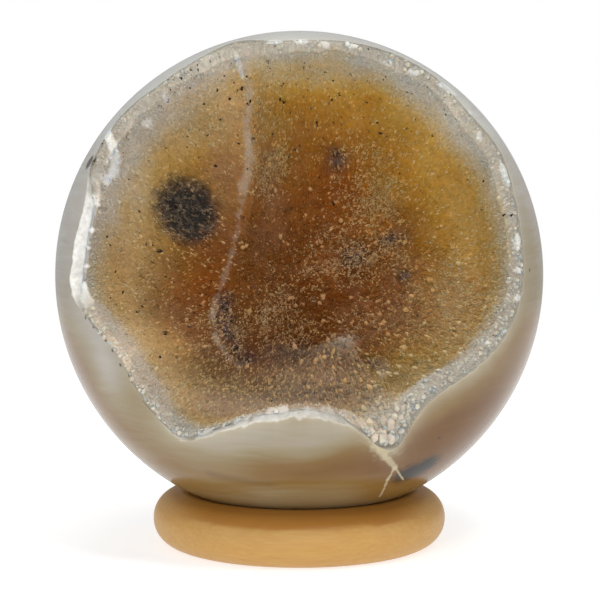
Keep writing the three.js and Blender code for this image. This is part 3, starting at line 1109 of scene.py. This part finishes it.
grit = build_grit()

# %% [markdown]
# ## The wooden ring
#
# The ring was turned on a lathe, so its section is drawn once and carried
# round. Its surface is smooth to the touch, so no tool lines are drawn
# on it.

# %% Ring
RING_SPREAD = 0.3
RING_HALF_W = 4.4 + RING_SPREAD / 2
RING_CORNER_R = 4.5
RING_AROUND = 192
CORNER_POINTS = 14


def build_ring():
    """Turned ring with a rounded section, standing on the table.

    The section is four quarter circles. It swells by the gap that is left
    towards the ball, along the line from its corner to the ball's centre."""
    section = []
    for quarter, (x, z) in enumerate([(1, 1), (-1, 1), (-1, -1), (1, -1)]):
        angle = math.pi / 2 * (quarter + np.linspace(0, 1, CORNER_POINTS))
        section.append(np.stack([
            x * (RING_HALF_W - RING_CORNER_R) + RING_CORNER_R * np.cos(angle),
            z * (RING_HALF_H - RING_CORNER_R) + RING_CORNER_R * np.sin(angle),
        ], -1))
    section = np.concatenate(section)
    corner = np.array([RING_HALF_W - RING_CORNER_R, RING_CORNER_R - RING_HALF_H])
    middle_r = RING_R + RING_SPREAD - RING_HALF_W
    touch = np.array([corner[0] - middle_r, BALL_CENTRE[2] - RING_HALF_H + corner[1]])
    to_ball = np.linalg.norm(touch)
    touch /= to_ball
    outward = section + corner
    outward /= np.linalg.norm(outward, axis=1, keepdims=True)
    gap = to_ball - BALL_R - RING_CORNER_R
    swell = gap * ease(outward @ touch, 0.8, 1.0)
    section = section + swell[:, None] * touch
    turn = 2 * math.pi * np.arange(RING_AROUND) / RING_AROUND
    out = middle_r + section[:, 0]
    height = RING_HALF_H + section[:, 1] - BALL_CENTRE[2]
    grid = np.stack([
        out[:, None] * np.cos(turn), out[:, None] * np.sin(turn),
        height[:, None] + 0 * turn,
    ], -1)
    closed = np.concatenate([grid, grid[:1]])
    triangles = grid_triangles(len(closed), RING_AROUND) % (len(grid) * RING_AROUND)
    return make_object("Wooden_ring", grid.reshape(-1, 3), triangles, smooth=True)


wooden_ring = build_ring()

# %% [markdown]
# ## Materials
#
# Colours are written as the hex values that a painter would pick from the
# screen, and turned into the linear values that light works with. Every
# pattern is scaled in millimetres from the Object coordinates, which are
# metres in the frame, so it stays the right size on the stone. One function
# adds every node. The others are patterns that need several nodes.


# %% Material tools
def linear(hexa):
    """Linear RGBA from a screen colour such as #a07a40.

    It is about the power 2.4 of the level, with a straight part near black."""
    levels = np.array([int(hexa[n:n + 2], 16) for n in (1, 3, 5)]) / 255
    values = np.where(levels <= 0.04045, levels / 12.92, ((levels + 0.055) / 1.055) ** 2.4)
    return (*values, 1.0)


def add_node(tree, kind, inputs=None, output=0, stops=(), **settings):
    """New shader node, and the output that is asked for.

    An input is linked when it is another node's output, and set when it is
    a plain value. The stops of a colour ramp are (position, hex colour)."""
    node = tree.nodes.new("ShaderNode" + kind)
    for key, value in settings.items():
        setattr(node, key, value)
    for key, value in (inputs or {}).items():
        if isinstance(value, bpy.types.NodeSocket):
            tree.links.new(value, node.inputs[key])
        else:
            node.inputs[key].default_value = value
    for number, (position, colour) in enumerate(stops):
        elements = node.color_ramp.elements
        element = elements[number] if number < len(elements) else elements.new(position)
        element.position = position
        element.color = linear(colour)
    return node.outputs[output]


def new_material(name, **values):
    """Material with one Principled shader, and its plain values set."""
    material = bpy.data.materials.new(name)
    material.use_nodes = True
    tree = material.node_tree
    shader = tree.nodes["Principled BSDF"]
    for key, value in values.items():
        shader.inputs[key.replace("_", " ")].default_value = value
    return material, tree, shader


def lay_over(tree, colour, mask, top, strength=1.0, blend="MIX"):
    """Colour with another on top, as thick as the mask times a strength."""
    thick = add_node(tree, "Math", {0: mask, 1: strength}, operation="MULTIPLY")
    top = linear(top) if isinstance(top, str) else top
    return add_node(
        tree, "Mix", {0: thick, 6: colour, 7: top}, 2, data_type="RGBA", blend_type=blend
    )


def millimetres(tree, stretch=(1.0, 1.0, 1.0)):
    """Place on the object in millimetres about the ball's centre.

    A stretch below 1 along an axis draws patterns out along that axis."""
    place = add_node(tree, "TexCoord", output="Object")
    shift = tuple(-MM * BALL_CENTRE)
    place = add_node(tree, "VectorMath", {0: place, 1: shift}, operation="ADD")
    scale = tuple(share / MM for share in stretch)
    return add_node(tree, "VectorMath", {0: place, 1: scale}, operation="MULTIPLY")


def unevenness(tree, place, size, detail=2.0, roughness=0.5, distortion=0.0):
    """Noise about zero, with features of about this size in millimetres."""
    value = add_node(tree, "TexNoise", {
        "Vector": place, "Scale": 1 / size, "Detail": detail,
        "Roughness": roughness, "Distortion": distortion,
    })
    return add_node(tree, "Math", {0: value, 1: 0.5}, operation="SUBTRACT")


print("linear value of mid grey:", linear("#808080")[0].round(3))

# %% [markdown]
# The druse is quartz that grew in the open: natural faces, never polished,
# each a small mirror. Light sinks into it, so it looks soft and a little
# glassy. The iron stain shows through from below. The glints are painted:
# faces coloured pale as if they caught the light. They go on last, because
# a highlight hides the stain under it.

# %% Druse material
DRUSE_MARKS = [
    "warmth", "shade", "bloom", "rust", "chalk", "violet", "black_spot", "white",
    "grain", "glint", "pepper",
]
STAIN_COLOURS = [
    (0.0, "#a6a094"), (0.08, "#a69a82"), (0.17, "#a6926d"), (0.28, "#a4864a"),
    (0.41, "#9f7a30"), (0.53, "#956b24"), (0.64, "#885b1c"), (0.78, "#7c4d1e"),
    (1.0, "#72451c"),
]
GLINT_COLOURS = [(0.0, "#ddd6c6"), (0.25, "#dfcda6"), (0.6, "#e4b87a"), (1.0, "#deb07c")]


def druse_material():
    """Iron-stained quartz points, with painted light and shade and painted glints."""
    material, tree, shader = new_material(
        "druse quartz, iron stained", Roughness=0.32, IOR=1.54, Specular_IOR_Level=0.06,
        Subsurface_Weight=0.85, Subsurface_Radius=(1.0, 0.7, 0.45), Subsurface_Scale=1.0 * MM,
    )
    mark = {
        name: add_node(tree, "Attribute", output="Fac", attribute_name=name)
        for name in DRUSE_MARKS
    }
    colour = add_node(tree, "ValToRGB", {"Fac": mark["warmth"]}, stops=STAIN_COLOURS)
    colour = lay_over(tree, colour, mark["rust"], "#ffe2a8", blend="MULTIPLY")
    colour = lay_over(tree, colour, mark["bloom"], "#aa9178")
    # Painted light and shade: the shade mask lightens and darkens the stain.
    light = add_node(tree, "MapRange", {"Value": mark["shade"], "To Min": 0.4, "To Max": 1.6})
    speck = add_node(tree, "MapRange", {"Value": mark["grain"], "To Min": 1.12, "To Max": 0.82})
    light = add_node(tree, "Math", {0: light, 1: speck}, operation="MULTIPLY")
    colour = lay_over(tree, colour, 1.0, light, blend="MULTIPLY")
    colour = lay_over(tree, colour, mark["chalk"], "#c2b2a2")
    dark = add_node(
        tree, "ValToRGB", {"Fac": mark["grain"]}, stops=[(0.2, "#5c4a48"), (0.8, "#37241f")]
    )
    colour = lay_over(tree, colour, mark["violet"], dark)
    black = add_node(
        tree, "ValToRGB", {"Fac": mark["grain"]}, stops=[(0.1, "#564c42"), (0.5, "#2b2724")]
    )
    colour = lay_over(tree, colour, mark["black_spot"], black)
    colour = lay_over(tree, colour, mark["white"], "#e6e3dc")
    # Painted glints: pale colour laid over the faces marked to glint, dulled in the black spot and
    # the white quartz.
    pale = add_node(tree, "ValToRGB", {"Fac": mark["warmth"]}, stops=GLINT_COLOURS)
    dull = add_node(tree, "Math", {0: mark["black_spot"], 1: 0.7}, operation="MULTIPLY")
    dull = add_node(tree, "Math", {0: dull, 1: mark["white"]}, operation="MAXIMUM")
    shine = add_node(tree, "Math", {0: 1.0, 1: dull}, operation="SUBTRACT")
    colour = lay_over(tree, colour, mark["glint"], pale, shine)
    colour = lay_over(tree, colour, mark["pepper"], "#2a211a")
    tree.links.new(colour, shader.inputs["Base Color"])
    return material


druse = druse_material()
for piece in (bed, crystals, ledge_crystals, grit):
    piece.data.materials.append(druse)
    print("druse material on", piece.name)


# %% [markdown]
# The ball is agate, ground and polished. Its surface is smooth enough for a
# soft shine, and light sinks in before it comes back, so bands and zones
# have soft edges. The finest layers of agate are thinner than a hundredth of
# a millimetre. They are drawn about a millimetre thick, as coarse as they
# need to be to show.

# %% Marks in the agate, in millimetres about the ball's centre
CRACK = [
    ((12.4, -32.8, -23.0), (13.0, -31.4, -24.9), 0.9),
    ((13.0, -31.4, -24.9), (14.0, -29.5, -26.5), 0.75),
    ((14.0, -29.5, -26.5), (15.7, -26.0, -29.0), 0.5),
    ((15.7, -26.0, -29.0), (14.6, -23.7, -31.5), 0.25),
    ((14.6, -23.7, -31.5), (13.5, -18.2, -35.4), 0.22),
    ((15.7, -26.0, -29.0), (17.3, -21.0, -32.0), 0.17),
]
PITS = [
    (-35.1, -22.5, -4.7), (-33.7, -24.3, -6.0), (-31.6, -26.5, -7.9), (-30.4, -27.4, -9.5),
    (-29.1, -27.9, -11.8), (-27.6, -28.7, -13.5), (-27.1, -28.6, -14.4), (38.3, -17.1, 2.6),
    (23.0, -25.5, -24.2),
]
PIT_R = 0.28
SEAM = ((-25.4, -28.3, -17.6), (-23.4, -28.7, -19.9), 0.16)
STREAK = ((-14.5, -25.4, -30.4), (-5.0, -27.3, -31.6), 0.9)
SMUDGE = ((17.8, -22.2, -30.6), (21.2, -20.9, -29.7), 2.4)
CHIP = ((12.3, -33.6, -22.0), (14.6, -30.2, -25.2), 1.9)
NOTCH_PIT = (-35.3, -10.9, 20.2)


def line_mask(tree, place, line, wobble, soft=0.4):
    """1 on a thin line of the given half-width, fading out beside it.

    The nearest point of the line is its start plus a share of its length,
    where the share is a dot product kept between 0 and 1."""
    start, end, half = line
    along = np.array(end) - np.array(start)
    unit = tuple(along / (along @ along))
    offset = add_node(tree, "VectorMath", {0: place, 1: start}, operation="SUBTRACT")
    share = add_node(tree, "VectorMath", {0: offset, 1: unit}, "Value", operation="DOT_PRODUCT")
    share = add_node(tree, "Clamp", {"Value": share})
    near = add_node(tree, "VectorMath", {0: tuple(along), "Scale": share}, operation="SCALE")
    away = add_node(tree, "VectorMath", {0: offset, 1: near}, "Value", operation="DISTANCE")
    away = add_node(tree, "Math", {0: wobble, 1: half, 2: away}, operation="MULTIPLY_ADD")
    return add_node(tree, "MapRange", {
        "Value": away, "From Min": half * (1 + soft), "From Max": half * (1 - soft),
    }, interpolation_type="SMOOTHSTEP")


def spot_mask(tree, place, at, inner, outer):
    """1 within the inner radius of a point, and 0 beyond the outer one."""
    away = add_node(tree, "VectorMath", {0: place, 1: at}, "Value", operation="DISTANCE")
    return add_node(tree, "MapRange", {
        "Value": away, "From Min": outer, "From Max": inner,
    }, interpolation_type="SMOOTHSTEP")


print("pieces of the crack and pits:", len(CRACK), len(PITS))

# %% Layers of the agate, and the marks on it
LAYER_MM = 1.25


def fine_layers(tree, place):
    """Thin level layers of the agate, -0.5 to 0.5, of uneven thickness.

    A noise that only changes with height makes the layers. A broad noise
    bends them, and another lets them fade away in places."""
    height = add_node(tree, "SeparateXYZ", {0: place}, "Z")
    bend = add_node(tree, "TexNoise", {"Vector": place, "Scale": 1 / 16.0, "Detail": 1.0})
    height = add_node(tree, "Math", {0: bend, 1: 5.0, 2: height}, operation="MULTIPLY_ADD")
    layer = add_node(tree, "TexNoise", {
        "W": height, "Scale": 1 / LAYER_MM, "Detail": 3.0, "Roughness": 0.6,
    }, noise_dimensions="1D")
    layer = add_node(tree, "Math", {0: layer, 1: 0.5}, operation="SUBTRACT")
    patches = add_node(tree, "TexNoise", {"Vector": place, "Scale": 1 / 9.0, "Detail": 1.0})
    strength = add_node(tree, "MapRange", {
        "Value": patches, "From Min": 0.35, "From Max": 0.65,
    }, interpolation_type="SMOOTHSTEP")
    return add_node(tree, "Math", {0: layer, 1: strength}, operation="MULTIPLY")


def agate_marks(tree, place, bands, colour):
    """Agate colour with its streak, smudge, crack, pits and seam on it."""
    wobble = unevenness(tree, place, 1.2)
    ragged = add_node(tree, "Math", {0: wobble, 1: 2.4}, operation="MULTIPLY")
    for line, uneven, soft, strength, top in [
        (STREAK, bands, 0.9, 0.35, "#5d4a36"),
        (SMUDGE, wobble, 0.6, 1.0, "#14130f"),
        (CHIP, ragged, 0.8, 0.65, "#b0a68c"),
        *[(piece, ragged, 0.6, 0.75, "#bbae90") for piece in CRACK],
        (SEAM, wobble, 0.4, 0.7, "#3b342b"),
    ]:
        mask = line_mask(tree, place, line, uneven, soft)
        colour = lay_over(tree, colour, mask, top, strength)
    notch = spot_mask(tree, place, NOTCH_PIT, 0.8, 1.7)
    colour = lay_over(tree, colour, notch, "#2a261f", 0.95)
    for pit in PITS:
        mask = spot_mask(tree, place, pit, 0.6 * PIT_R, 1.5 * PIT_R)
        colour = lay_over(tree, colour, mask, "#332c24", 0.8)
    return colour


print("layers of the agate are drawn", LAYER_MM, "mm thick")

# %% Agate material
BAND_MM = 1.6
BAND_STRETCH = (0.12, 0.12, 1.0)
AGATE_COLOURS = [
    (0.0, "#bdbdb8"), (0.2, "#a8a197"), (0.42, "#918468"), (0.66, "#7c5f31"), (1.0, "#69430e"),
]


def agate_material():
    """Polished agate with soft bands, and white broken stone."""
    material, tree, shader = new_material(
        "polished agate", IOR=1.54, Specular_IOR_Level=0.2, Subsurface_Weight=0.4,
        Subsurface_Radius=(1.0, 0.8, 0.6), Subsurface_Scale=2.5 * MM,
    )
    zone = {
        name: add_node(tree, "Attribute", output="Fac", attribute_name=name)
        for name in ("brown", "haze", "broken", "white")
    }
    place = millimetres(tree)
    bands = unevenness(tree, millimetres(tree, BAND_STRETCH), BAND_MM, 3.0, 0.6, 0.6)
    brown = add_node(
        tree, "Math", {0: bands, 1: 0.15, 2: zone["brown"]}, operation="MULTIPLY_ADD"
    )
    layers = fine_layers(tree, place)
    brown = add_node(tree, "Math", {0: layers, 1: 0.2, 2: brown}, operation="MULTIPLY_ADD")
    colour = add_node(tree, "ValToRGB", {"Fac": brown}, stops=AGATE_COLOURS)
    colour = lay_over(tree, colour, zone["haze"], "#bfb6a1")
    colour = agate_marks(tree, place, bands, colour)
    broken = add_node(tree, "MapRange", {
        "Value": zone["broken"], "From Min": 0.3, "From Max": 0.7,
    }, interpolation_type="SMOOTHSTEP")
    colour = lay_over(tree, colour, broken, "#938d80", 0.85)
    chips = add_node(tree, "TexNoise", {
        "Vector": place, "Scale": 1 / 0.8, "Detail": 4.0, "Roughness": 0.6,
    })
    white = add_node(
        tree, "ValToRGB", {"Fac": chips}, stops=[(0.3, "#cac8c1"), (0.62, "#e8e6e1")]
    )
    colour = lay_over(tree, colour, zone["white"], white)
    tree.links.new(colour, shader.inputs["Base Color"])
    rough = add_node(tree, "MapRange", {"Value": broken, "To Min": 0.2, "To Max": 0.42})
    tree.links.new(rough, shader.inputs["Roughness"])
    return material


stone.data.materials.append(agate_material())
print("agate material on", stone.name)

# %% [markdown]
# The ring is a plain pale wood, turned on a lathe and sealed, so it has a
# dull shine and fine grain that runs one way through the whole ring. Its
# upper edge is painted darker in front, as the ball's shadow where it sits.

# %% Wood material
GRAIN_MM = 0.5
GRAIN_STRETCH = (0.06, 0.7, 1.0)
# Height where the painted shadow of the ball begins on the ring.
PAINTED_SHADOW_FROM = 2 * RING_HALF_H - 2.2 - BALL_CENTRE[2]


def painted_ball_shadow(tree, broad):
    """1 on the upper edge of the ring in its middle as seen in front, where the ball's shadow is
    painted.
    """
    place = millimetres(tree)
    height = add_node(tree, "SeparateXYZ", {0: place}, "Z")
    height = add_node(tree, "Math", {0: broad, 1: 1.2, 2: height}, operation="MULTIPLY_ADD")
    upper = add_node(tree, "MapRange", {
        "Value": height, "From Min": PAINTED_SHADOW_FROM + 0.3, "From Max": PAINTED_SHADOW_FROM + 1.1,
    }, interpolation_type="SMOOTHSTEP")
    side = add_node(tree, "SeparateXYZ", {0: place}, "X")
    side = add_node(tree, "Math", {0: side}, operation="ABSOLUTE")
    middle = add_node(tree, "MapRange", {
        "Value": side, "From Min": 24.0, "From Max": 14.0,
    }, interpolation_type="SMOOTHSTEP")
    return add_node(tree, "Math", {0: upper, 1: middle}, operation="MULTIPLY")


def wood_material():
    """Smooth pale wood with fine grain, lightly sealed."""
    material, tree, shader = new_material("turned wood, sealed", Roughness=0.45, IOR=1.5)
    along_grain = millimetres(tree, GRAIN_STRETCH)
    fine = add_node(tree, "TexNoise", {
        "Vector": along_grain, "Scale": 1 / GRAIN_MM, "Detail": 4.0, "Roughness": 0.6,
    })
    broad = add_node(tree, "TexNoise", {
        "Vector": along_grain, "Scale": 1 / 2.6, "Detail": 3.0, "Roughness": 0.55,
        "Distortion": 1.2,
    })
    colour = add_node(
        tree, "ValToRGB", {"Fac": fine}, stops=[(0.3, "#bb8e4a"), (0.7, "#c69e58")]
    )
    colour = lay_over(tree, colour, broad, "#b48039", 0.6)
    # Painted shadow of the ball, laid over the ring's upper edge in front.
    colour = lay_over(tree, colour, painted_ball_shadow(tree, broad), "#a0651c", 0.7)
    tree.links.new(colour, shader.inputs["Base Color"])
    relief = add_node(tree, "Bump", {"Height": fine, "Strength": 1.0, "Distance": 0.01 * MM})
    tree.links.new(relief, shader.inputs["Normal"])
    return material


wooden_ring.data.materials.append(wood_material())
print("wood material on", wooden_ring.name)

# %% [markdown]
# ## Telling the frame what each piece is
#
# On the real object nothing moves, so every piece rides on the one body. The
# four pieces of druse together take the place of one solid of the CAD model,
# because a crust of plain facets can't hold so many fine tips.

# %% Rides and replaced nodes
for piece, node, slot in [
    (stone, "agate_sphere", "polished_agate"),
    (bed, "druzy_crust", "druzy_crystal"),
    (crystals, "druzy_crust", "druzy_crystal"),
    (ledge_crystals, "druzy_crust", "druzy_crystal"),
    (grit, "druzy_crust", "druzy_crystal"),
    (wooden_ring, "wooden_ring", "turned_wood"),
]:
    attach(piece, "root")
    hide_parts(node)
    print(piece.name, "rides root, replaces", node)

# %% [markdown]
# ## Camera, floor and light
#
# The photograph was taken from just above the ball's middle with a long
# lens. A short lens close up would make the ring look smaller against the
# ball. The floor and the background are plain white. The light is soft and
# comes from all sides, most of it from the front and from above, so it is
# made with an even white world and a few large softboxes.

# %% Camera
CAMERA_DISTANCE = 450.0
CAMERA_RISE = math.radians(6.0)
CAMERA_PITCH = math.radians(6.55)
CAMERA_YAW = math.radians(0.017)
LENS_MM = 156.2

camera_data = bpy.data.cameras.new("Camera")
camera_data.lens = LENS_MM
camera_data.sensor_width = 36.0
camera = bpy.data.objects.new("Camera", camera_data)
bpy.context.scene.collection.objects.link(camera)
away = np.array([0, -math.cos(CAMERA_RISE), math.sin(CAMERA_RISE)])
camera.location = (BALL_CENTRE + CAMERA_DISTANCE * away) * MM
camera.rotation_euler = (math.pi / 2 - CAMERA_PITCH, 0, -CAMERA_YAW)
bpy.context.scene.camera = camera
print("camera at", [round(value, 3) for value in camera.location])

# %% Floor
FLOOR_HALF = 2.0
PAPER_FULL = 0.1
PAPER_END = 0.42


def stage_object(name, points, faces, material):
    """Mesh that only dresses the studio."""
    mesh = bpy.data.meshes.new(name)
    mesh.from_pydata(points, [], faces)
    mesh.materials.append(material)
    thing = bpy.data.objects.new(name, mesh)
    bpy.context.scene.collection.objects.link(thing)
    return thing


def white_paper():
    """White paper that thins out to nothing away from the ball."""
    material, tree, shader = new_material(
        "white paper", Roughness=0.9, Base_Color=linear("#bcbcbc"),
        Emission_Color=(1, 1, 1, 1), Emission_Strength=0.68,
    )
    place = add_node(tree, "TexCoord", output="Object")
    away = add_node(tree, "VectorMath", {0: place}, "Value", operation="LENGTH")
    thick = add_node(tree, "MapRange", {
        "Value": away, "From Min": PAPER_END, "From Max": PAPER_FULL,
    }, interpolation_type="SMOOTHSTEP")
    tree.links.new(thick, shader.inputs["Alpha"])
    return material


def floor():
    """Square of white paper under the ring."""
    corners = FLOOR_HALF * np.array([(-1, -1, 0), (1, -1, 0), (1, 1, 0), (-1, 1, 0)])
    return stage_object("Floor", corners.tolist(), [(0, 1, 2, 3)], white_paper())


print("stage:", floor().name)

# %% Backdrop
BACKDROP_R = 2.5
BACKDROP_ROWS = 24


def backdrop():
    """Round white screen that the camera sees but that lights nothing."""
    across = 2 * BACKDROP_ROWS
    tilt, turn = np.meshgrid(
        np.linspace(-math.pi / 2, math.pi / 2, BACKDROP_ROWS + 1),
        2 * math.pi * np.arange(across) / across, indexing="ij",
    )
    points = BACKDROP_R * np.stack([
        np.cos(tilt) * np.cos(turn), np.cos(tilt) * np.sin(turn), np.sin(tilt)
    ], -1).reshape(-1, 3)
    glow, _, _ = new_material(
        "lit white screen", Roughness=1.0, Base_Color=(0, 0, 0, 1), Specular_IOR_Level=0,
        Emission_Color=(1, 1, 1, 1), Emission_Strength=1.0,
    )
    faces = grid_triangles(BACKDROP_ROWS + 1, across).tolist()
    screen = stage_object("Backdrop", points.tolist(), faces, glow)
    screen.visible_diffuse = False
    screen.visible_glossy = False
    screen.visible_transmission = False
    screen.visible_shadow = False
    return screen


print("stage:", backdrop().name)

# %% Light
WORLD_LIGHT = 0.45

world = bpy.data.worlds.new("Light tent")
world.use_nodes = True
world.node_tree.nodes["Background"].inputs["Color"].default_value = (1, 1, 1, 1)
world.node_tree.nodes["Background"].inputs["Strength"].default_value = WORLD_LIGHT
bpy.context.scene.world = world
bpy.context.scene.view_settings.view_transform = "Standard"


def softbox(name, place, aim, size, power):
    """Square area light, placed in metres and turned to its aim.

    It points straight down at first. It tips by the angle between down and
    the aim, and then turns about the upright axis to face it."""
    data = bpy.data.lights.new(name, "AREA")
    data.size = size
    data.energy = power
    light = bpy.data.objects.new(name, data)
    bpy.context.scene.collection.objects.link(light)
    offset = aim - np.array(place)
    light.location = place
    light.rotation_euler = (
        math.atan2(math.hypot(offset[0], offset[1]), -offset[2]),
        0,
        math.atan2(offset[1], offset[0]) - math.pi / 2,
    )
    return light


for name, place, size, power in [
    ("Top softbox", (0.0, 0.0, 0.9), 0.4, 1.5),
    ("Front softbox", (0.0, -1.0, 0.1), 1.1, 4.8),
    ("Key light", (0.2, -0.45, 0.8), 0.16, 2.4),
    ("Left softbox", (-0.7, -0.5, 0.3), 0.35, 1.2),
    ("Right softbox", (0.8, -0.3, 0.25), 0.35, 0.8),
    ("Back softbox", (0.0, 0.65, 0.75), 0.5, 0.8),
]:
    light = softbox(name, place, BALL_CENTRE * MM, size, power)
    print("light:", light.name)
